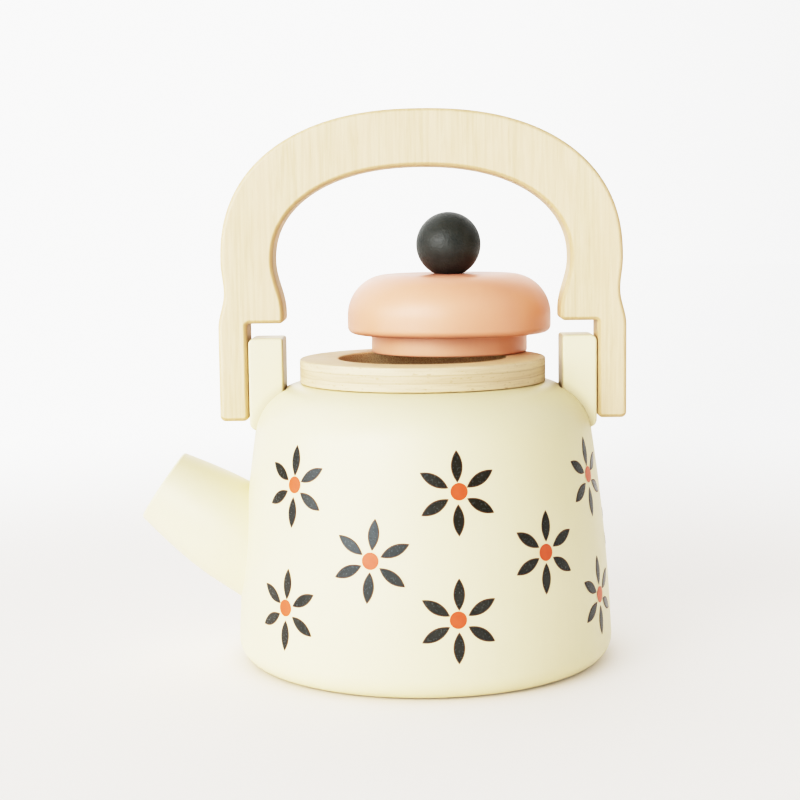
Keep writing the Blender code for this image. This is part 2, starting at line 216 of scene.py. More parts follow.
def turned(name, profile, segments, place=None, closed=False):
    """A solid of revolution about Z, moved to its place."""
    place = place or Matrix.Identity(4)
    profile = without_repeats(profile)
    points = []
    rings = []
    for radius, height in profile:
        if radius < SAME_PLACE:
            rings.append([len(points)])
            points.append(place @ Vector((0.0, 0.0, height)))
            continue
        rings.append(list(range(len(points), len(points) + segments)))
        for index in range(segments):
            angle = 2 * math.pi * index / segments
            spot = Vector((radius * math.cos(angle), radius * math.sin(angle), height))
            points.append(place @ spot)
    faces = []
    pairs = list(zip(rings, rings[1:]))
    if closed:
        pairs.append((rings[-1], rings[0]))
    for upper, lower in pairs:
        for index in range(segments):
            following = (index + 1) % segments
            corners = [
                upper[index % len(upper)],
                lower[index % len(lower)],
                lower[following % len(lower)],
                upper[following % len(upper)],
            ]
            faces.append(list(dict.fromkeys(corners)))
    return new_piece(name, points, faces)


def block(name, low, high):
    """A box between two opposite corners."""
    corners = [(x, y, z) for x in (low[0], high[0]) for y in (low[1], high[1]) for z in (low[2], high[2])]
    faces = [(0, 1, 3, 2), (4, 5, 7, 6), (0, 1, 5, 4), (2, 3, 7, 6), (0, 2, 6, 4), (1, 3, 7, 5)]
    return new_piece(name, corners, faces)


def cut(piece, cutters, sharp_angle):
    """Take the cutters out of the piece for good."""
    for cutter in cutters:
        modifier = piece.modifiers.new("cut", "BOOLEAN")
        modifier.solver = "EXACT"
        modifier.object = cutter
    bpy.context.view_layer.update()
    graph = bpy.context.evaluated_depsgraph_get()
    mesh = bpy.data.meshes.new_from_object(piece.evaluated_get(graph))
    piece.modifiers.clear()
    piece.data = mesh
    mesh.shade_smooth()
    mesh.set_sharp_from_angle(angle=math.radians(sharp_angle))
    for cutter in cutters:
        bpy.data.objects.remove(cutter, do_unlink=True)


def flat_faces_first(piece):
    """Let large flat faces keep their own normals next to rounded edges."""
    modifier = piece.modifiers.new("flat_faces", "WEIGHTED_NORMAL")
    modifier.weight = 100
    modifier.keep_sharp = True


# Body, spout and collar


def wall_profile():
    """The body's outer side from the top flat to the bottom flat."""
    taper = math.atan((BASE_RADIUS - TOP_RADIUS) / (BODY_HEIGHT - SHOULDER_ROUND - BOTTOM_ROUND))
    shoulder_end = taper + WALL_BULGE_ANGLE
    bottom_start = taper - WALL_BULGE_ANGLE
    shoulder_centre = (TOP_RADIUS - SHOULDER_ROUND, BODY_HEIGHT - SHOULDER_ROUND)
    shoulder = arc(shoulder_centre, SHOULDER_ROUND, math.pi / 2, shoulder_end, SHOULDER_STEPS)
    bottom_centre = (BASE_RADIUS - BOTTOM_ROUND, BOTTOM_ROUND)
    bottom = arc(bottom_centre, BOTTOM_ROUND, bottom_start, -math.pi / 2, BOTTOM_STEPS)
    first, last = Vector(shoulder[-1]), Vector(bottom[0])
    reach = (last - first).length / 3
    leave = first + reach * Vector((math.sin(shoulder_end), -math.cos(shoulder_end)))
    arrive = last + reach * Vector((-math.sin(bottom_start), math.cos(bottom_start)))
    wall = []
    for index in range(1, WALL_STEPS):
        share = index / WALL_STEPS
        rest = 1 - share
        spot = rest**3 * first + 3 * share * rest**2 * leave
        spot = spot + 3 * share**2 * rest * arrive + share**3 * last
        wall.append(tuple(spot))
    return shoulder + wall + bottom


WALL = wall_profile()


def body_surface(height):
    """Radius of the outer side at a height, and the outward direction there as (radial, up)."""
    for upper, lower in zip(WALL, WALL[1:]):
        if lower[1] <= height <= upper[1]:
            share = (upper[1] - height) / (upper[1] - lower[1])
            along = (Vector(upper) - Vector(lower)).normalized()
            return upper[0] + share * (lower[0] - upper[0]), (along.y, -along.x)
    return TOP_RADIUS, (1.0, 0.0)


def make_body():
    profile = [(0.0, FLOOR_THICKNESS)]
    corner = (BORE_RADIUS - BORE_CORNER, FLOOR_THICKNESS + BORE_CORNER)
    profile += arc(corner, BORE_CORNER, -math.pi / 2, 0.0, CORNER_STEPS)
    profile += [(BORE_RADIUS, BODY_HEIGHT - BORE_CHAMFER), (BORE_RADIUS + BORE_CHAMFER, BODY_HEIGHT)]
    profile += WALL + [(0.0, 0.0)]
    body = turned("body_shell", profile, BODY_SEGMENTS)
    slots = []
    for sign in (-1.0, 1.0):
        near, far = sorted((sign * (EAR_INNER - EAR_NOTCH), sign * (EAR_OUTER + SLOT_PAST_EAR)))
        half = HANDLE_DEPTH / 2 + SLOT_SIDE_GAP
        low, high = (near, -half, EAR_BOTTOM + SLOT_FLOOR_RISE), (far, half, EAR_TOP + SLOT_PAST_TOP)
        slots.append(block("ear_slot", low, high))
    cut(body, slots, sharp_angle=30.0)
    return body


def make_spout():
    radius, _ = body_surface(SPOUT_ROOT_HEIGHT)
    root = Vector((-radius, 0.0, SPOUT_ROOT_HEIGHT))
    along = Vector((-math.cos(SPOUT_ANGLE), 0.0, math.sin(SPOUT_ANGLE)))
    tip_centre = (SPOUT_TIP_RADIUS - SPOUT_TIP_ROUND, SPOUT_LENGTH - SPOUT_TIP_ROUND)
    profile = [(0.0, SPOUT_LENGTH), (SPOUT_TIP_RADIUS - SPOUT_TIP_RING, SPOUT_LENGTH)]
    profile += arc(tip_centre, SPOUT_TIP_ROUND, math.pi / 2, 0.0, CORNER_STEPS)
    for index in range(1, SPOUT_STEPS + 1):
        share = index / SPOUT_STEPS
        swell = math.sin(share * math.pi / 2)
        radius = SPOUT_TIP_RADIUS + (SPOUT_ROOT_RADIUS - SPOUT_TIP_RADIUS) * swell
        profile.append((radius, (SPOUT_LENGTH - SPOUT_TIP_ROUND) * (1 - share)))
    profile += [(SPOUT_ROOT_RADIUS, -SPOUT_BURIED), (0.0, -SPOUT_BURIED)]
    place = Matrix.Translation(root) @ along.to_track_quat("Z", "Y").to_matrix().to_4x4()
    return turned("spout_barrel", profile, SPOUT_SEGMENTS, place)


def make_collar():
    inner, outer, low, high = COLLAR_HOLE_RADIUS, COLLAR_RADIUS, COLLAR_BOTTOM, COLLAR_TOP
    edge, seat = COLLAR_EDGE_ROUND, COLLAR_SEAT_ROUND
    profile = arc((inner + edge, high - edge), edge, math.pi, math.pi / 2, EDGE_STEPS)
    profile += arc((outer - edge, high - edge), edge, math.pi / 2, 0.0, EDGE_STEPS)
    profile += [(outer, high + (low - high) * step / RIM_STEPS) for step in range(2, RIM_STEPS)]
    profile += arc((outer - seat, low + seat), seat, 0.0, -math.pi / 2, SEAT_STEPS)
    profile += arc((inner + edge, low + edge), edge, -math.pi / 2, -math.pi, EDGE_STEPS)
    return turned("collar_plywood", profile, COLLAR_SEGMENTS, closed=True)


# Handle and ears


def superellipse(width, height, fullness):
    """Half of an arch, from its crown down to its spring line."""
    points = []
    for index in range(ARCH_STEPS + 1):
        angle = math.pi / 2 * (1 - index / ARCH_STEPS)
        across = max(0.0, math.cos(angle)) ** (2 / fullness)
        up = max(0.0, math.sin(angle)) ** (2 / fullness)
        points.append((width * across, ARCH_SPRING + height * up))
    return points


def blend(start, end, steps):
    """A soft S from one point to another, upright at both ends."""
    points = []
    for index in range(steps + 1):
        share = index / steps
        swing = (1 - math.cos(math.pi * share)) / 2
        points.append((start[0] + (end[0] - start[0]) * swing, start[1] + (end[1] - start[1]) * share))
    return points


def rounded_corner(before, corner, after, radius):
    """Points of the arc that rounds the corner between two neighbours."""
    corner = Vector(corner)
    to_before = (Vector(before) - corner).normalized()
    to_after = (Vector(after) - corner).normalized()
    half = to_before.angle(to_after) / 2
    reach = radius / math.tan(half)
    centre = corner + (to_before + to_after).normalized() * radius / math.sin(half)
    first = corner + to_before * reach - centre
    last = corner + to_after * reach - centre
    start = math.atan2(first.y, first.x)
    sweep = math.atan2(first.x * last.y - first.y * last.x, first.dot(last))
    return arc(centre, radius, start, start + sweep, CORNER_STEPS)


def handle_outline():
    """The whole outline in X and Z, clockwise from the crown."""
    arch_outer = LEG_OUTER - ARCH_INSET
    arch_inner = arch_outer - GRIP_SIDE_WIDTH
    waist = (LEG_OUTER - WAIST_INSET, (ARCH_SPRING + STEP_RISE) / 2)
    leg_start = (LEG_OUTER, STEP_RISE - NOSE_CORNER)
    toe_outer = (LEG_OUTER, -LEG_DROP)
    toe_inner = (LEG_INNER, -LEG_DROP)
    step_root = (LEG_INNER, STEP_RISE)
    step_nose = (STEP_INNER, STEP_RISE)
    inner_start = (STEP_INNER, STEP_RISE + 2 * NOSE_CORNER)
    outside = superellipse(arch_outer, HANDLE_RISE - ARCH_SPRING, ARCH_FULLNESS)
    outside += blend(outside[-1], waist, WAIST_STEPS)
    outside += blend(waist, leg_start, WAIST_STEPS)
    outside += rounded_corner(leg_start, toe_outer, toe_inner, TOE_CORNER)
    grip_rise = HANDLE_RISE - ARCH_SPRING - GRIP_TOP_WIDTH
    inside = superellipse(arch_inner, grip_rise, GRIP_FULLNESS)
    inside += blend(inside[-1], inner_start, INNER_WAIST_STEPS)
    inside += rounded_corner(inner_start, step_nose, step_root, NOSE_CORNER)
    inside += rounded_corner(step_nose, step_root, toe_inner, STEP_CORNER)
    inside += rounded_corner(step_root, toe_inner, toe_outer, TOE_CORNER)
    right = without_repeats(outside) + list(reversed(without_repeats(inside)))
    left = [(-across, up) for across, up in reversed(right)]
    outline = without_repeats(right + left)[:-1]
    return [(across, up + PIVOT_HEIGHT) for across, up in outline]


def moved_in(outline, distance):
    """A clockwise outline moved inwards."""
    moved = []
    count = len(outline)
    for index, spot in enumerate(outline):
        spot = Vector(spot)
        before = (spot - Vector(outline[index - 1])).normalized()
        after = (Vector(outline[(index + 1) % count]) - spot).normalized()
        inward_before = Vector((before.y, -before.x))
        inward_after = Vector((after.y, -after.x))
        inward = (inward_before + inward_after).normalized()
        moved.append(spot + inward * distance / max(0.5, inward.dot(inward_before)))
    return moved


def rounded_slab(name, outline, depth, edge):
    """A board across Y with a clockwise outline in X and Z, its front and back edges rounded."""
    layers = []
    for index in range(ROUND_STEPS + 1):
        angle = math.pi / 2 * index / ROUND_STEPS
        layers.append((edge * (1 - math.sin(angle)), depth / 2 - edge * (1 - math.cos(angle))))
    layers += [(distance, -reach) for distance, reach in reversed(layers)]
    points = []
    for distance, reach in layers:
        points += [(spot.x, -reach, spot.y) for spot in moved_in(outline, distance)]
    count = len(outline)
    faces = [list(range(count)), list(range(len(points) - count, len(points)))]
    for layer in range(len(layers) - 1):
        for index in range(count):
            following = (index + 1) % count
            first, second = layer * count, (layer + 1) * count
            faces.append((first + index, first + following, second + following, second + index))
    return new_piece(name, points, faces, sharp_angle=60.0)


def make_handle():
    handle = rounded_slab("handle_bow", handle_outline(), HANDLE_DEPTH, HANDLE_ROUND)
    turn = Vector((1.0, 0.0, 0.0)).to_track_quat("Z", "Y").to_matrix().to_4x4()
    place = Matrix.Translation((0.0, 0.0, PIVOT_HEIGHT)) @ turn
    holes = []
    for sign in (-1.0, 1.0):
        near, far = sign * (LEG_INNER - PIVOT_HOLE_PAST_LEG), sign * (LEG_OUTER + PIVOT_HOLE_PAST_LEG)
        start, end = sorted((near, far))
        rod = [(0.0, end), (PIVOT_HOLE_RADIUS, end), (PIVOT_HOLE_RADIUS, start), (0.0, start)]
        holes.append(turned("pivot_hole", rod, HOLE_SEGMENTS, place))
    cut(handle, holes, sharp_angle=45.0)
    flat_faces_first(handle)
    return handle


def make_ear(name, sign):
    outer = EAR_OUTER + EAR_PROUD
    inner_top, outer_top = (EAR_INNER, EAR_TOP), (outer, EAR_TOP)
    outer_low, inner_low = (outer, EAR_BOTTOM), (EAR_INNER, EAR_BOTTOM)
    outline = rounded_corner(inner_low, inner_top, outer_top, EAR_INNER_CORNER)
    outline += rounded_corner(inner_top, outer_top, outer_low, EAR_OUTER_CORNER)
    outline += rounded_corner(outer_top, outer_low, inner_low, EAR_TOE_CORNER)
    outline += rounded_corner(outer_low, inner_low, inner_top, EAR_INNER_CORNER)
    if sign < 0:
        outline = [(-across, up) for across, up in reversed(outline)]
    ear = rounded_slab(name, outline, HANDLE_DEPTH, EAR_ROUND)
    flat_faces_first(ear)
    return ear


# Lid


def make_lid():
    place = Matrix.Translation(LID_PLACE)
    top_centre = (CAP_RADIUS - CAP_TOP_ROUND, CAP_TOP - CAP_TOP_ROUND)
    low_centre = (CAP_RADIUS - CAP_BOTTOM_ROUND, CAP_BOTTOM + CAP_BOTTOM_ROUND)
    cap = [(radius, CAP_TOP) for radius in CAP_TOP_RINGS]
    cap += arc(top_centre, CAP_TOP_ROUND, math.pi / 2, 0.0, CAP_TOP_STEPS)
    cap += [(CAP_RADIUS, CAP_BOTTOM + CAP_SIDE_RING)]
    cap += arc(low_centre, CAP_BOTTOM_ROUND, 0.0, -math.pi / 2, CAP_BOTTOM_STEPS)
    cap += [(CAP_BOTTOM_RING, CAP_BOTTOM), (0.0, CAP_BOTTOM)]
    dome = turned("lid_dome", cap, CAP_SEGMENTS, place)

    plug_top = CAP_BOTTOM + PLUG_IN_CAP
    edge_centre = (PLUG_RADIUS - PLUG_EDGE_ROUND, PLUG_EDGE_ROUND)
    plug = [(0.0, plug_top), (PLUG_RADIUS, plug_top), (PLUG_RADIUS, PLUG_SIDE_RING)]
    plug += arc(edge_centre, PLUG_EDGE_ROUND, 0.0, -math.pi / 2, EDGE_STEPS)
    plug += [(PLUG_BOTTOM_RING, 0.0), (0.0, 0.0)]
    disc = turned("lid_disc", plug, PLUG_SEGMENTS, place)

    flat_angle = -math.acos(KNOB_FLAT_RADIUS / KNOB_RADIUS)
    flat_height = KNOB_SEAT - KNOB_FLAT_CHAMFER
    centre = KNOB_SEAT - KNOB_RADIUS * math.sin(flat_angle)
    ball = arc((0.0, centre), KNOB_RADIUS, math.pi / 2, flat_angle, KNOB_STEPS)
    ball[0] = (0.0, centre + KNOB_RADIUS)
    ball += [(KNOB_FLAT_RADIUS - KNOB_FLAT_CHAMFER, flat_height), (0.0, flat_height)]
    knob = turned("knob_ball", ball, KNOB_SEGMENTS, place)
    return dome, disc, knob


# Daisies printed round the body as thin films: dots, petals, and an outline under each petal

DOT_RADIUS = 0.00245
PETAL_COUNT = 6
FIRST_PETAL_ANGLE = 30.0
PETAL_START = 0.0035
PETAL_END = 0.0117
PETAL_WIDTH = 0.00276
POINT_HALF_WIDTH = 0.00002
POINT_GROWTH = 1.7
OUTLINE_WIDTH = 0.00026
OUTLINE_LIFT = 0.00005
FILM_LIFT = 0.00009

# For each dot, degrees round from the front towards +X and height; for its petals,
# how far they slip from the dot in degrees and in height, and their lean in degrees
DAISIES = [
    (-44.2, 0.0597, -0.13, -0.00047, -0.4),
    (-45.1, 0.0238, 0.32, -0.00053, 1.2),
    (-15.9, 0.0402, 0.20, -0.00009, 4.9),
    (10.6, 0.0596, -0.41, -0.00045, -0.3),
    (9.35, 0.0237, 0.25, -0.00040, 1.1),
    (38.55, 0.0402, 0.12, -0.00001, 4.2),
    (66.2, 0.0593, -0.45, -0.00064, -0.4),
    (66.3, 0.0230, -0.10, -0.00025, -0.8),
    (94.0, 0.0402, 0.20, -0.00030, 2.0),
    (120.5, 0.0596, -0.30, -0.00045, -1.0),
    (119.5, 0.0235, 0.25, -0.00040, 2.0),
    (145.5, 0.0403, 0.10, -0.00010, -2.0),
    (171.0, 0.0597, -0.20, -0.00050, 1.5),
    (171.8, 0.0236, 0.30, -0.00035, -1.0),
    (197.5, 0.0401, -0.10, -0.00015, 3.0),
    (223.0, 0.0595, -0.35, -0.00045, -0.5),
    (223.8, 0.0237, 0.15, -0.00040, 1.0),
]


def on_body(flower, right, up, lift):
    """A point of a flower's own plane laid on the body, lifted by a paint film."""
    turn, height, lean = flower
    lean = math.radians(lean)
    right, up = right * math.cos(lean) + up * math.sin(lean), up * math.cos(lean) - right * math.sin(lean)
    _, (out, _) = body_surface(height)
    height = height + up * out
    radius, (out, rise) = body_surface(height)
    angle = math.radians(turn) + right / radius
    radius += lift * out
    return Vector((radius * math.sin(angle), -radius * math.cos(angle), height + lift * rise))


def petal(flower, direction, grow, lift):
    """Points and faces of one pointed petal, grown by a margin at its sides and more at its points."""
    along, across = 16, 4
    start, end = PETAL_START - POINT_GROWTH * grow, PETAL_END + POINT_GROWTH * grow
    points = []
    for step in range(along + 1):
        share = step / along
        reach = start + (end - start) * share
        half = (PETAL_WIDTH / 2 + grow) * (1 - (2 * share - 1) ** 2) + POINT_HALF_WIDTH
        for side in range(across + 1):
            offset = half * (2 * side / across - 1)
            right = reach * math.cos(direction) - offset * math.sin(direction)
            up = reach * math.sin(direction) + offset * math.cos(direction)
            points.append(on_body(flower, right, up, lift))
    faces = []
    for step in range(along):
        for side in range(across):
            first = step * (across + 1) + side
            faces.append((first, first + 1, first + across + 2, first + across + 1))
    return points, faces


def dot(flower, radius, lift):
    """Points and faces of a flower's round middle."""
    rings, segments = 4, 32
    points = [on_body(flower, 0.0, 0.0, lift)]
    for ring in range(1, rings + 1):
        for index in range(segments):
            angle = 2 * math.pi * index / segments
            reach = radius * ring / rings
            points.append(on_body(flower, reach * math.cos(angle), reach * math.sin(angle), lift))
    faces = [(0, 1 + index, 1 + (index + 1) % segments) for index in range(segments)]
    for ring in range(rings - 1):
        for index in range(segments):
            first, following = 1 + ring * segments, (index + 1) % segments
            second = first + segments
            faces.append((first + index, second + index, second + following, first + following))
    return points, faces


def joined(name, patches):
    """One object of many small films, all facing away from the body's axis."""
    points, faces = [], []
    for patch_points, patch_faces in patches:
        first = len(points)
        points += patch_points
        faces += [[first + index for index in face] for face in patch_faces]
    mesh = bpy.data.meshes.new(name)
    mesh.from_pydata([tuple(point) for point in points], [], faces)
    for polygon in mesh.polygons:
        middle = Vector((polygon.center.x, polygon.center.y, 0.0))
        if polygon.normal.dot(middle) < 0:
            polygon.flip()
    mesh.shade_smooth()
    return added(name, mesh)


def make_daisies():
    petals, outlines, dots = [], [], []
    for turn, height, slip_turn, slip_height, lean in DAISIES:
        flower = (turn + slip_turn, height + slip_height, lean)
        for index in range(PETAL_COUNT):
            direction = math.radians(FIRST_PETAL_ANGLE + 360.0 / PETAL_COUNT * index)
            petals.append(petal(flower, direction, 0.0, FILM_LIFT))
            outlines.append(petal(flower, direction, OUTLINE_WIDTH, OUTLINE_LIFT))
        dots.append(dot((turn, height, lean), DOT_RADIUS, FILM_LIFT))
    return joined("daisy_petals", petals), joined("daisy_outlines", outlines), joined("daisy_dots", dots)


# Finishes

# Sockets of a Mix node when it mixes colours, and when it mixes numbers
COLOUR_A, COLOUR_B, COLOUR_RESULT = 6, 7, 2
NUMBER_A, NUMBER_B, NUMBER_RESULT = 2, 3, 0

# Between these lie most of a noise's values
NOISE_SPAN = (0.3, 0.7)

# Painted shade where an ear meets the shoulder: how far it reaches, and its strength at the seam
SEAM_SHADE_REACH = 0.0030
SEAM_SHADE_SHARE = 0.45

# How far the handle's edge bands reach in from its front and back, and the collar's bore colour outwards
EDGE_BAND = 0.0024
BORE_FADE = (0.0002, 0.0006)

WHITE = (1.0, 1.0, 1.0)
EVEN = (1.0, 1.0, 1.0)


class Finish:
    """A material with short ways to add the nodes of a procedural finish."""

    def __init__(self, name):
        self.material = bpy.data.materials.new(name)
        self.material.use_nodes = True
        self.nodes = self.material.node_tree.nodes
        self.links = self.material.node_tree.links
        self.shader = self.nodes["Principled BSDF"]
        coordinates = self.nodes.new("ShaderNodeTexCoord")
        self.place = coordinates.outputs["Object"]
        self.normal = coordinates.outputs["Normal"]

    def feed(self, socket, value):
        """Link an output to the socket, or set the socket's constant."""
        if isinstance(value, bpy.types.NodeSocket):
            self.links.new(value, socket)
        elif socket.type == "RGBA":
            socket.default_value = (*value, 1.0)
        else:
            socket.default_value = value

    def noise(self, scale, stretch=EVEN, detail=3.0, shift=0.0):
        mapping = self.nodes.new("ShaderNodeMapping")
        mapping.inputs["Scale"].default_value = stretch
        mapping.inputs["Location"].default_value = (shift, shift, shift)
        self.links.new(self.place, mapping.inputs["Vector"])
        texture = self.nodes.new("ShaderNodeTexNoise")
        texture.inputs["Scale"].default_value = scale
        texture.inputs["Detail"].default_value = detail
        self.links.new(mapping.outputs["Vector"], texture.inputs["Vector"])
        return texture.outputs[0]

    def remap(self, value, low, high, to_low=0.0, to_high=1.0, smooth=True):
        node = self.nodes.new("ShaderNodeMapRange")
        node.interpolation_type = "SMOOTHSTEP" if smooth else "LINEAR"
        self.feed(node.inputs["Value"], value)
        node.inputs["From Min"].default_value = low
        node.inputs["From Max"].default_value = high
        node.inputs["To Min"].default_value = to_low
        node.inputs["To Max"].default_value = to_high
        return node.outputs["Result"]

    def maths(self, operation, first, second=0.0):
        node = self.nodes.new("ShaderNodeMath")
        node.operation = operation
        self.feed(node.inputs[0], first)
        self.feed(node.inputs[1], second)
        return node.outputs[0]

    def length(self, first, second):
        squares = self.maths("MULTIPLY", first, first), self.maths("MULTIPLY", second, second)
        return self.maths("SQRT", self.maths("ADD", *squares))

    def mix(self, share, first, second, how="MIX"):
        node = self.nodes.new("ShaderNodeMix")
        node.data_type = "RGBA"
        node.blend_type = how
        self.feed(node.inputs[0], share)
        self.feed(node.inputs[COLOUR_A], first)
        self.feed(node.inputs[COLOUR_B], second)
        return node.outputs[COLOUR_RESULT]

    def ramp(self, value, stops):
        node = self.nodes.new("ShaderNodeValToRGB")
        elements = node.color_ramp.elements
        while len(elements) < len(stops):
            elements.new(0.5)
        for element, (position, colour) in zip(elements, stops):
            element.position = position
            element.color = (*colour, 1.0)
        self.feed(node.inputs[0], value)
        return node.outputs[0]

    def axes(self, vector=None):
        node = self.nodes.new("ShaderNodeSeparateXYZ")
        self.links.new(vector or self.place, node.inputs[0])
        return node.outputs

    def relief(self, layers):
        """Bumps from (height, strength, depth in metres), one on top of the other."""
        below = None
        for height, strength, depth in layers:
            node = self.nodes.new("ShaderNodeBump")
            node.inputs["Strength"].default_value = strength
            node.inputs["Distance"].default_value = depth
            self.links.new(height, node.inputs["Height"])
            if below:
                self.links.new(below, node.inputs["Normal"])
            below = node.outputs["Normal"]
        self.links.new(below, self.shader.inputs["Normal"])

    def finish(self, colour, roughness):
        self.feed(self.shader.inputs["Base Color"], colour)
        self.feed(self.shader.inputs["Roughness"], roughness)
        return self.material


def satin_paint(name, light, dark, gloss, shift, inner=None):
    """Sprayed satin paint on wood: faint clouds, grain under the film, a fine skin and small dents.

    An inner colour, painted shade, darkens faces that look towards the kettle's axis and the ear's face
    along the shoulder's seam.
    """
    paint = Finish(name)
    cloud = paint.remap(paint.noise(22.0, detail=4.0, shift=shift), *NOISE_SPAN)
    grain = paint.noise(420.0, (1.0, 1.0, 0.05), 3.0, shift)
    skin = paint.noise(900.0, detail=2.0, shift=shift)
    dents = paint.remap(paint.noise(330.0, detail=1.0, shift=shift + 3.0), 0.70, 0.78)
    colour = paint.mix(cloud, dark, light)
    colour = paint.mix(paint.remap(grain, 0.35, 0.65, 0.0, 0.25), colour, dark)
    if inner:
        across, deep, up = paint.axes()
        inwards = paint.maths("MULTIPLY", across, paint.axes(paint.normal)[0])
        # Painted shade on faces that look towards the kettle's axis
        colour = paint.mix(paint.remap(inwards, -0.01, -0.035, 0.0, 0.8), colour, inner)
        # Painted shade on the ear's face close to the shoulder's seam
        reach = paint.maths("SUBTRACT", paint.length(across, deep), TOP_RADIUS - SHOULDER_ROUND)
        rise = paint.maths("SUBTRACT", up, BODY_HEIGHT - SHOULDER_ROUND)
        off_shoulder = paint.maths("SUBTRACT", paint.length(reach, rise), SHOULDER_ROUND)
        colour = paint.mix(paint.remap(off_shoulder, 0.0, SEAM_SHADE_REACH, SEAM_SHADE_SHARE, 0.0), colour, inner)
    patches = paint.noise(60.0, detail=3.0, shift=shift + 1.0)
    roughness = paint.remap(patches, *NOISE_SPAN, gloss - 0.04, gloss + 0.05)
    paint.relief([(grain, 0.10, 0.00003), (skin, 0.12, 0.00003), (dents, 0.25, 0.00005)])
    return paint.finish(colour, roughness)


def pale_wood():
    """Clear-coated board with upright grain, and a tan band with a brown line along its inner edges, partly
    the wood's own edge tone and partly painted shade.
    """
    wood = Finish("clear_pale_wood")
    fine = wood.noise(2600.0, (1.0, 1.0, 0.065), 3.0)
    lines = wood.noise(1250.0, (1.0, 1.0, 0.045), 3.0, 2.0)
    bands = wood.noise(110.0, (1.0, 1.0, 0.12), 3.0, 5.0)
    patches = wood.remap(wood.noise(130.0, (1.0, 1.0, 0.5), 2.0, 8.0), 0.35, 0.65)
    pores = wood.remap(wood.noise(2200.0, (1.0, 1.0, 0.045), 1.0, 7.0), 0.66, 0.76)
    streak_brown = (0.575, 0.437, 0.275)
    band_tan = (0.750, 0.574, 0.392)
    pore_brown = (0.46, 0.32, 0.18)
    underside_shade = (0.51, 0.39, 0.27)
    colour = wood.ramp(lines, [(0.34, (0.635, 0.493, 0.312)), (0.64, (0.731, 0.586, 0.392))])
    streaks = wood.maths("MULTIPLY", wood.remap(fine, 0.45, 0.70, 0.0, 0.40), patches)
    colour = wood.mix(streaks, colour, streak_brown)
    colour = wood.mix(wood.remap(bands, 0.35, 0.70, 0.0, 0.45), colour, band_tan)
    colour = wood.mix(wood.maths("MULTIPLY", pores, 0.22), colour, pore_brown)

    x, y, z = wood.axes()
    across, _, up = wood.axes(wood.normal)
    half = HANDLE_DEPTH / 2
    edge = wood.remap(wood.maths("ABSOLUTE", y), half - EDGE_BAND, half, smooth=False)
    outer = wood.ramp(
        edge,
        [
            (0.0, (0.93, 0.89, 0.83)),
            (0.42, (0.92, 0.88, 0.82)),
            (0.65, (0.88, 0.83, 0.75)),
            (0.90, (0.94, 0.90, 0.83)),
            (0.985, WHITE),
        ],
    )
    inner = wood.ramp(
        edge,
        [
            (0.0, (0.90, 0.87, 0.83)),
            (0.45, (0.87, 0.84, 0.79)),
            (0.75, (0.84, 0.79, 0.72)),
            (0.94, (0.75, 0.68, 0.59)),
            (0.982, (0.87, 0.81, 0.72)),
            (0.999, WHITE),
        ],
    )
    # Painted shade: faces that turn down or towards the middle take the darker inner band
    below = wood.maths("SUBTRACT", PIVOT_HEIGHT + ARCH_SPRING, z)
    facing = wood.maths("SUBTRACT", wood.maths("MULTIPLY", below, up), wood.maths("MULTIPLY", x, across))
    shaded_side = wood.maths("MAXIMUM", wood.remap(facing, 0.0, 0.004), wood.remap(up, -0.05, -0.30))
    colour = wood.mix(1.0, colour, wood.mix(shaded_side, outer, inner), "MULTIPLY")
    # Painted shade: faces that look down turn tan
    colour = wood.mix(wood.remap(up, -0.15, -0.9, 0.0, 0.55), colour, underside_shade)
    roughness = wood.remap(lines, *NOISE_SPAN, 0.42, 0.54)
    wood.relief([(lines, 0.08, 0.00004), (fine, 0.08, 0.00002)])
    return wood.finish(colour, roughness)


def plywood():
    """Clear-coated plywood: pale face veneer, three plies with glue lines at the rim, a brown bore."""
    ply = Finish("clear_plywood")
    x, y, z = ply.axes()
    wander = ply.noise(60.0, detail=2.0)
    level = ply.maths("ADD", z, ply.remap(wander, *NOISE_SPAN, -0.00012, 0.00012))
    rim = ply.ramp(
        ply.remap(level, COLLAR_BOTTOM, COLLAR_TOP, smooth=False),
        [
            (0.0, (0.62, 0.48, 0.30)),
            (0.05, (0.72, 0.58, 0.40)),
            (0.31, (0.70, 0.56, 0.38)),
            (0.345, (0.54, 0.41, 0.27)),
            (0.38, (0.65, 0.505, 0.335)),
            (0.63, (0.66, 0.52, 0.345)),
            (0.665, (0.53, 0.41, 0.27)),
            (0.70, (0.71, 0.57, 0.39)),
            (1.0, (0.72, 0.58, 0.40)),
        ],
    )
    streak_brown = (0.52, 0.39, 0.25)
    pit_brown = (0.44, 0.31, 0.17)
    streaks = ply.noise(1500.0, (0.05, 0.05, 1.0), 3.0, 1.0)
    rim = ply.mix(ply.remap(streaks, 0.40, 0.72, 0.0, 0.45), rim, streak_brown)
    pits = ply.remap(ply.noise(1900.0, (0.35, 0.35, 1.0), 2.0, 8.0), 0.60, 0.72, 0.0, 0.5)
    rim = ply.mix(pits, rim, pit_brown)
    veneer = ply.noise(1100.0, (0.03, 1.0, 1.0), 3.0, 4.0)
    face = ply.ramp(veneer, [(0.32, (0.635, 0.480, 0.296)), (0.68, (0.745, 0.585, 0.383))])
    up = ply.axes(ply.normal)[2]
    colour = ply.mix(ply.remap(up, 0.55, 0.9), rim, face)
    speckle = ply.noise(3200.0, detail=2.0, shift=6.0)
    bore = ply.ramp(speckle, [(0.36, (0.70, 0.53, 0.34)), (0.64, (0.93, 0.79, 0.56))])
    bore_end, bore_gone = (COLLAR_HOLE_RADIUS + reach for reach in BORE_FADE)
    in_bore = ply.remap(ply.length(x, y), bore_end, bore_gone, 1.0, 0.0)
    colour = ply.mix(in_bore, colour, bore)
    roughness = ply.remap(streaks, *NOISE_SPAN, 0.50, 0.62)
    ply.relief([(streaks, 0.12, 0.00004), (veneer, 0.08, 0.00003)])
    return ply.finish(colour, roughness)


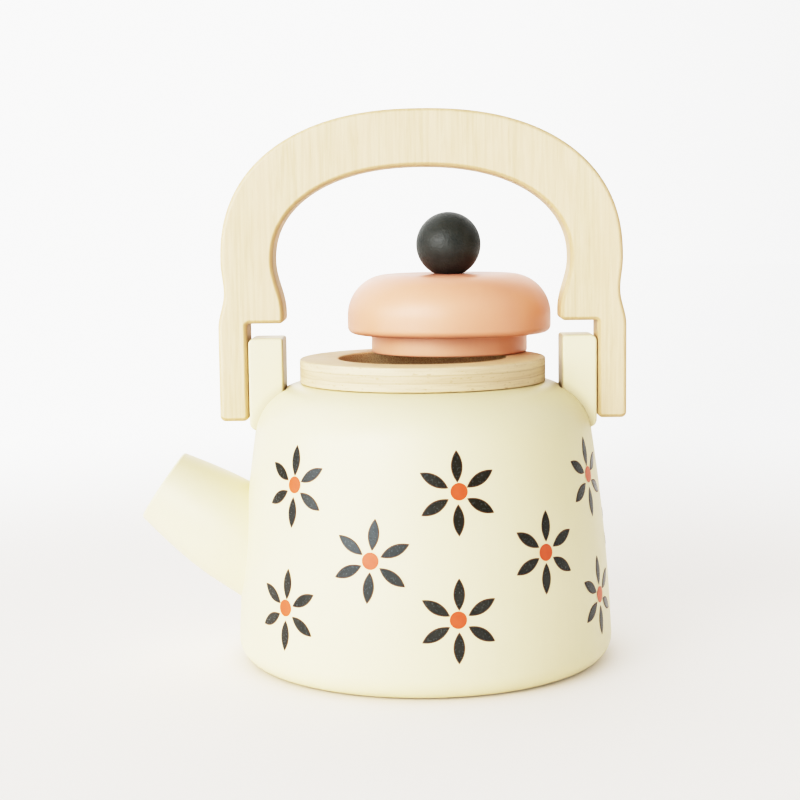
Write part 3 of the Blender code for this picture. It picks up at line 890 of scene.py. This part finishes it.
def charcoal_paint(name, light, dark, gloss, shine, worn, pebbles, sheen=WHITE):
    """Charcoal paint with a fine pebbled skin, a tint to its sheen and, where worn, sparse pale flecks."""
    paint = Finish(name)
    pebble = paint.noise(1500.0, detail=2.0)
    cloud = paint.noise(260.0, detail=3.0, shift=2.0)
    fleck_grey = (0.20, 0.19, 0.16)
    colour = paint.ramp(cloud, [(0.35, dark), (0.65, light)])
    flecks = paint.remap(paint.noise(1700.0, detail=1.0, shift=9.0), 0.70, 0.76, 0.0, worn)
    colour = paint.mix(flecks, colour, fleck_grey)
    roughness = paint.remap(pebble, *NOISE_SPAN, gloss - 0.05, gloss + 0.06)
    paint.shader.inputs["Specular IOR Level"].default_value = shine
    paint.shader.inputs["Specular Tint"].default_value = (*sheen, 1.0)
    paint.relief([(pebble, pebbles, 0.00016)])
    return paint.finish(colour, roughness)


def print_paint(name, light, dark, gloss, sheen=WHITE):
    """A thin printed film, a little uneven, with a tint to its sheen."""
    paint = Finish(name)
    cloud = paint.noise(420.0, detail=3.0)
    colour = paint.ramp(cloud, [(0.35, dark), (0.65, light)])
    roughness = paint.remap(cloud, *NOISE_SPAN, gloss - 0.03, gloss + 0.03)
    paint.shader.inputs["Specular Tint"].default_value = (*sheen, 1.0)
    paint.relief([(paint.noise(1500.0, detail=2.0, shift=4.0), 0.06, 0.00002)])
    return paint.finish(colour, roughness)


def dowel_wood():
    """Raw beech dowel with short flecks and faint rings."""
    wood = Finish("raw_dowel_wood")
    fine = wood.noise(1500.0, (0.12, 1.0, 1.0), 3.0)
    rings = wood.noise(700.0, (0.3, 1.0, 1.0), 2.0, 3.0)
    ring_brown = (0.36, 0.22, 0.11)
    colour = wood.ramp(fine, [(0.32, (0.40, 0.25, 0.13)), (0.68, (0.58, 0.41, 0.24))])
    colour = wood.mix(wood.remap(rings, 0.45, 0.65, 0.0, 0.4), colour, ring_brown)
    wood.relief([(fine, 0.2, 0.00005)])
    return wood.finish(colour, wood.remap(fine, *NOISE_SPAN, 0.55, 0.70))


# Pieces with their finishes and bodies

# The lighter and the darker colour of each finish. The plug's peach is a little lighter than the cap's,
# painted light that lifts the shade it lies in under the cap.
CREAM = ((0.84, 0.753, 0.506), (0.815, 0.726, 0.476))
PEACH = ((0.805, 0.400, 0.280), (0.772, 0.373, 0.254))
PLUG_PEACH_PAINTED_LIGHT = ((0.830, 0.445, 0.312), (0.797, 0.415, 0.283))
KNOB_CHARCOAL = ((0.058, 0.064, 0.060), (0.044, 0.049, 0.046))
PETAL_CHARCOAL = ((0.058, 0.053, 0.043), (0.044, 0.040, 0.032))
SCORCHED_BROWN = ((0.19, 0.090, 0.042), (0.12, 0.055, 0.026))
ORANGE = ((0.69, 0.146, 0.066), (0.66, 0.134, 0.058))

# The ears' painted shade on their inner faces and along the shoulder's seam, and the tint of reflections in
# the printed films
EAR_PAINTED_SHADE = (0.46, 0.38, 0.25)
COOL_SHEEN = (0.70, 0.86, 1.0)

# Pieces that keep the solids' own shapes
DOWELS = (
    "spout_dowel",
    "ear_dowel_left",
    "ear_dowel_right",
    "pivot_dowel_left",
    "pivot_dowel_right",
    "knob_dowel",
)

cream = satin_paint("satin_cream_paint", *CREAM, gloss=0.36, shift=0.0)
ear_cream = satin_paint("ear_cream_paint", *CREAM, gloss=0.38, shift=5.0, inner=EAR_PAINTED_SHADE)
peach = satin_paint("satin_peach_paint", *PEACH, gloss=0.36, shift=11.0)
plug_peach_painted_light = satin_paint("plug_peach_paint", *PLUG_PEACH_PAINTED_LIGHT, gloss=0.36, shift=14.0)
knob_paint = charcoal_paint(
    "satin_charcoal_paint", *KNOB_CHARCOAL, gloss=0.40, shine=0.40, worn=0.0, pebbles=1.0
)
petal_paint = charcoal_paint(
    "printed_charcoal", *PETAL_CHARCOAL, gloss=0.23, shine=0.53, worn=0.5, pebbles=0.08, sheen=COOL_SHEEN
)
outline_paint = print_paint("scorched_outline", *SCORCHED_BROWN, gloss=0.55)
dot_paint = print_paint("printed_orange", *ORANGE, gloss=0.32, sheen=COOL_SHEEN)
board = pale_wood()
collar_ply = plywood()
dowel = dowel_wood()


def dress(piece, material, body, replaced=()):
    """Give a piece its material, the body it rides on and the nodes it replaces."""
    piece.data.materials.clear()
    piece.data.materials.append(material)
    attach(piece, body)
    if replaced:
        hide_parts(*replaced)


dress(make_body(), cream, "kettle", ["body"])
dress(make_spout(), cream, "kettle", ["spout"])
dress(make_ear("ear_block_left", -1.0), ear_cream, "kettle", ["ear_left"])
dress(make_ear("ear_block_right", 1.0), ear_cream, "kettle", ["ear_right"])
dress(make_collar(), collar_ply, "kettle", ["collar_ring"])
dress(make_handle(), board, "handle", ["handle_arch"])
lid_dome, lid_disc, knob_ball = make_lid()
dress(lid_dome, peach, "lid", ["lid_cap"])
dress(lid_disc, plug_peach_painted_light, "lid", ["lid_plug"])
dress(knob_ball, knob_paint, "lid", ["lid_knob"])
daisy_petals, daisy_outlines, daisy_dots = make_daisies()
dress(daisy_outlines, outline_paint, "kettle")
dress(daisy_petals, petal_paint, "kettle")
dress(daisy_dots, dot_paint, "kettle")
for name in DOWELS:
    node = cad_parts[name]
    for slot in node.material_slots:
        slot.material = dowel


# Stage, light and camera

# Soft white panels round the room: degrees round from the front towards +X, degrees up, strength
PANELS = [
    (-150.0, 4.0, 0.70),
    (-60.0, 4.0, 2.50),
    (-30.0, 4.0, 2.00),
    (150.0, 4.0, 0.36),
    (-180.0, 32.0, 0.95),
    (-120.0, 32.0, 0.50),
    (-30.0, 32.0, 0.54),
    (0.0, 32.0, 0.37),
    (60.0, 32.0, 0.33),
    (120.0, 32.0, 0.43),
    (-120.0, 60.0, 0.51),
    (120.0, 60.0, 0.12),
]
PANEL_REACH = math.cos(math.radians(38.0))

# The wall behind: its tint, and its brightness between two directions across
WALL_TINT = (1.0, 1.0, 0.99, 1.0)
WALL_SPAN = (-0.05, 0.32)
WALL_LEFT, WALL_RIGHT = 1.12, 0.84

# The floor: a painted shadow on the paper close to the base, a faint glow further out, and a fade into the
# wall
FLOOR_RINGS = (0.0, 0.2, 0.5, 1.0, 2.0, 4.0)
FLOOR_DROP = 0.00005
FLOOR_ROUGHNESS = 0.75
SHADE_CENTRE = (-0.0015, 0.0020, 0.0)
SHADE_SPAN = (0.045, 0.063)
SHADOW_PAINTED_PAPER = (0.66, 0.605, 0.54, 1.0)
OPEN_PAPER = (0.94, 0.885, 0.835, 1.0)
GLOW_SPAN = (0.048, 0.070)
GLOW_TINT = (1.0, 0.97, 0.94, 1.0)
GLOW_STRENGTH = 0.11
FADE_SPAN = (0.16, 0.60)

# The window: width, height, power in watts, degrees round from the front, distance and height of its middle
WINDOW_WIDTH, WINDOW_HEIGHT = 0.361, 0.40
WINDOW_POWER = 0.75
WINDOW_TURN = -36.0
WINDOW_DISTANCE, WINDOW_RISE = 0.85, 0.55

# The camera: place, turns in radians, and lens and sensor in millimetres
CAMERA_PLACE = (0.0, -0.51213, 0.13667)
CAMERA_PITCH, CAMERA_YAW, CAMERA_ROLL = 0.1105, -0.0139, -0.0123
CAMERA_LENS, CAMERA_SENSOR = 74.48, 36.0
CAMERA_NEAR, CAMERA_FAR = 0.01, 50.0

# The tone curve: its power, its bend, the brightest level it takes, and the levels between
CURVE_POWER = 1.9
CURVE_BEND = 0.074
CURVE_REACH = 2.0
CURVE_LEVELS = (0.02, 0.04, 0.07, 0.11, 0.16, 0.22, 0.30, 0.40, 0.55, 0.75, 1.0, 1.4)


def smooth_range(tree, value, limits):
    """A value eased from one range into another."""
    node = tree.nodes.new("ShaderNodeMapRange")
    node.interpolation_type = "SMOOTHSTEP"
    tree.links.new(value, node.inputs["Value"])
    for name, number in zip(("From Min", "From Max", "To Min", "To Max"), limits):
        node.inputs[name].default_value = number
    return node.outputs["Result"]


def vector_maths(tree, operation, first, second=None):
    """Outputs of a vector operation on an output and a constant."""
    node = tree.nodes.new("ShaderNodeVectorMath")
    node.operation = operation
    tree.links.new(first, node.inputs[0])
    if second is not None:
        node.inputs[1].default_value = second
    return node.outputs


def number_maths(tree, operation, first, second):
    """Output of an operation on two outputs."""
    node = tree.nodes.new("ShaderNodeMath")
    node.operation = operation
    tree.links.new(first, node.inputs[0])
    tree.links.new(second, node.inputs[1])
    return node.outputs[0]


def wall_brightness(tree, direction):
    """Brightness of the plain wall behind, a little lower on the right."""
    axes = tree.nodes.new("ShaderNodeSeparateXYZ")
    tree.links.new(direction, axes.inputs[0])
    return smooth_range(tree, axes.outputs["X"], (*WALL_SPAN, WALL_LEFT, WALL_RIGHT))


def make_floor():
    """A wide pale floor with a painted shadow round the base, that fades into the wall behind, where the
    camera looks at it.
    """
    floor = turned("floor", [(radius, -FLOOR_DROP) for radius in FLOOR_RINGS], FLOOR_SEGMENTS)
    material = bpy.data.materials.new("floor_paper")
    material.use_nodes = True
    tree = material.node_tree
    shader, output = tree.nodes["Principled BSDF"], tree.nodes["Material Output"]
    shader.inputs["Roughness"].default_value = FLOOR_ROUGHNESS
    shader.inputs["Emission Color"].default_value = GLOW_TINT
    place = tree.nodes.new("ShaderNodeTexCoord").outputs["Object"]
    from_base = vector_maths(tree, "DISTANCE", place, SHADE_CENTRE)["Value"]
    # Painted shadow: the paper darkens close to the base, round a point a little to the left and back
    paper = tree.nodes.new("ShaderNodeMix")
    paper.data_type = "RGBA"
    tree.links.new(smooth_range(tree, from_base, (*SHADE_SPAN, 0.0, 1.0)), paper.inputs[0])
    paper.inputs[COLOUR_A].default_value = SHADOW_PAINTED_PAPER
    paper.inputs[COLOUR_B].default_value = OPEN_PAPER
    tree.links.new(paper.outputs[COLOUR_RESULT], shader.inputs["Base Color"])
    glow = smooth_range(tree, from_base, (*GLOW_SPAN, 0.0, GLOW_STRENGTH))
    tree.links.new(glow, shader.inputs["Emission Strength"])

    far = tree.nodes.new("ShaderNodeEmission")
    far.inputs["Color"].default_value = WALL_TINT
    direction = vector_maths(tree, "NORMALIZE", place)["Vector"]
    tree.links.new(wall_brightness(tree, direction), far.inputs["Strength"])
    distance = vector_maths(tree, "LENGTH", place)["Value"]
    path = tree.nodes.new("ShaderNodeLightPath")
    faded = smooth_range(tree, distance, (*FADE_SPAN, 0.0, 1.0))
    mix = tree.nodes.new("ShaderNodeMixShader")
    tree.links.new(number_maths(tree, "MULTIPLY", faded, path.outputs["Is Camera Ray"]), mix.inputs["Fac"])
    tree.links.new(shader.outputs["BSDF"], mix.inputs[1])
    tree.links.new(far.outputs["Emission"], mix.inputs[2])
    tree.links.new(mix.outputs["Shader"], output.inputs["Surface"])
    floor.data.materials.append(material)


def towards(turn, rise):
    """Unit direction from degrees round from the front and degrees up."""
    turn, rise = math.radians(turn), math.radians(rise)
    return Vector((math.sin(turn) * math.cos(rise), -math.cos(turn) * math.cos(rise), math.sin(rise)))


def make_room():
    """Light from the panels, and a plain wall where the camera looks past the object."""
    world = bpy.data.worlds.new("room")
    bpy.context.scene.world = world
    world.use_nodes = True
    tree = world.node_tree
    background = tree.nodes["Background"]
    direction = tree.nodes.new("ShaderNodeTexCoord").outputs["Generated"]
    light = None
    for turn, rise, strength in PANELS:
        facing = vector_maths(tree, "DOT_PRODUCT", direction, towards(turn, rise))["Value"]
        panel = smooth_range(tree, facing, (PANEL_REACH, 1.0, 0.0, strength))
        light = number_maths(tree, "ADD", light, panel) if light else panel
    path = tree.nodes.new("ShaderNodeLightPath")
    seen = tree.nodes.new("ShaderNodeMix")
    seen.data_type = "FLOAT"
    tree.links.new(path.outputs["Is Camera Ray"], seen.inputs[0])
    tree.links.new(light, seen.inputs[NUMBER_A])
    tree.links.new(wall_brightness(tree, direction), seen.inputs[NUMBER_B])
    tree.links.new(seen.outputs[NUMBER_RESULT], background.inputs["Strength"])
    background.inputs["Color"].default_value = WALL_TINT


def make_window():
    """A large soft light at the left of the front."""
    lamp = bpy.data.lights.new("window", "AREA")
    lamp.shape = "RECTANGLE"
    lamp.size = WINDOW_WIDTH
    lamp.size_y = WINDOW_HEIGHT
    lamp.energy = WINDOW_POWER
    window = added("window", lamp)
    away = towards(WINDOW_TURN, 0.0)
    window.location = WINDOW_DISTANCE * away + Vector((0.0, 0.0, WINDOW_RISE))
    window.rotation_euler = away.to_track_quat("Z", "Y").to_euler()
    window.visible_camera = False


def make_camera():
    """The photograph's viewpoint: a long lens a little above the lid, looking slightly down."""
    data = bpy.data.cameras.new("camera")
    data.sensor_width = CAMERA_SENSOR
    data.lens = CAMERA_LENS
    data.clip_start, data.clip_end = CAMERA_NEAR, CAMERA_FAR
    camera = added("camera", data)
    pitch, yaw, roll = CAMERA_PITCH, CAMERA_YAW, CAMERA_ROLL
    forward = Vector(
        (math.sin(yaw) * math.cos(pitch), math.cos(yaw) * math.cos(pitch), -math.sin(pitch))
    )
    right = Vector((math.cos(yaw), -math.sin(yaw), 0.0))
    up = right.cross(forward)
    rolled_right = math.cos(roll) * right + math.sin(roll) * up
    rolled_up = math.cos(roll) * up - math.sin(roll) * right
    axes = Matrix((rolled_right, rolled_up, -forward)).transposed()
    camera.matrix_world = Matrix.Translation(CAMERA_PLACE) @ axes.to_4x4()
    bpy.context.scene.camera = camera


def tone(level):
    """Display value of a brightness in the scene."""
    return level**CURVE_POWER / (level**CURVE_POWER + CURVE_BEND)


def set_tones():
    """A soft photographic curve: deep shadows, pale highlights."""
    settings = bpy.context.scene.view_settings
    settings.view_transform = "Standard"
    settings.use_curve_mapping = True
    mapping = settings.curve_mapping
    mapping.white_level = (CURVE_REACH, CURVE_REACH, CURVE_REACH)
    curve = mapping.curves[3]
    for level in CURVE_LEVELS:
        curve.points.new(level / CURVE_REACH, tone(level))
    curve.points[-1].location = (1.0, tone(CURVE_REACH))
    mapping.update()


make_floor()
make_room()
make_window()
make_camera()
set_tones()
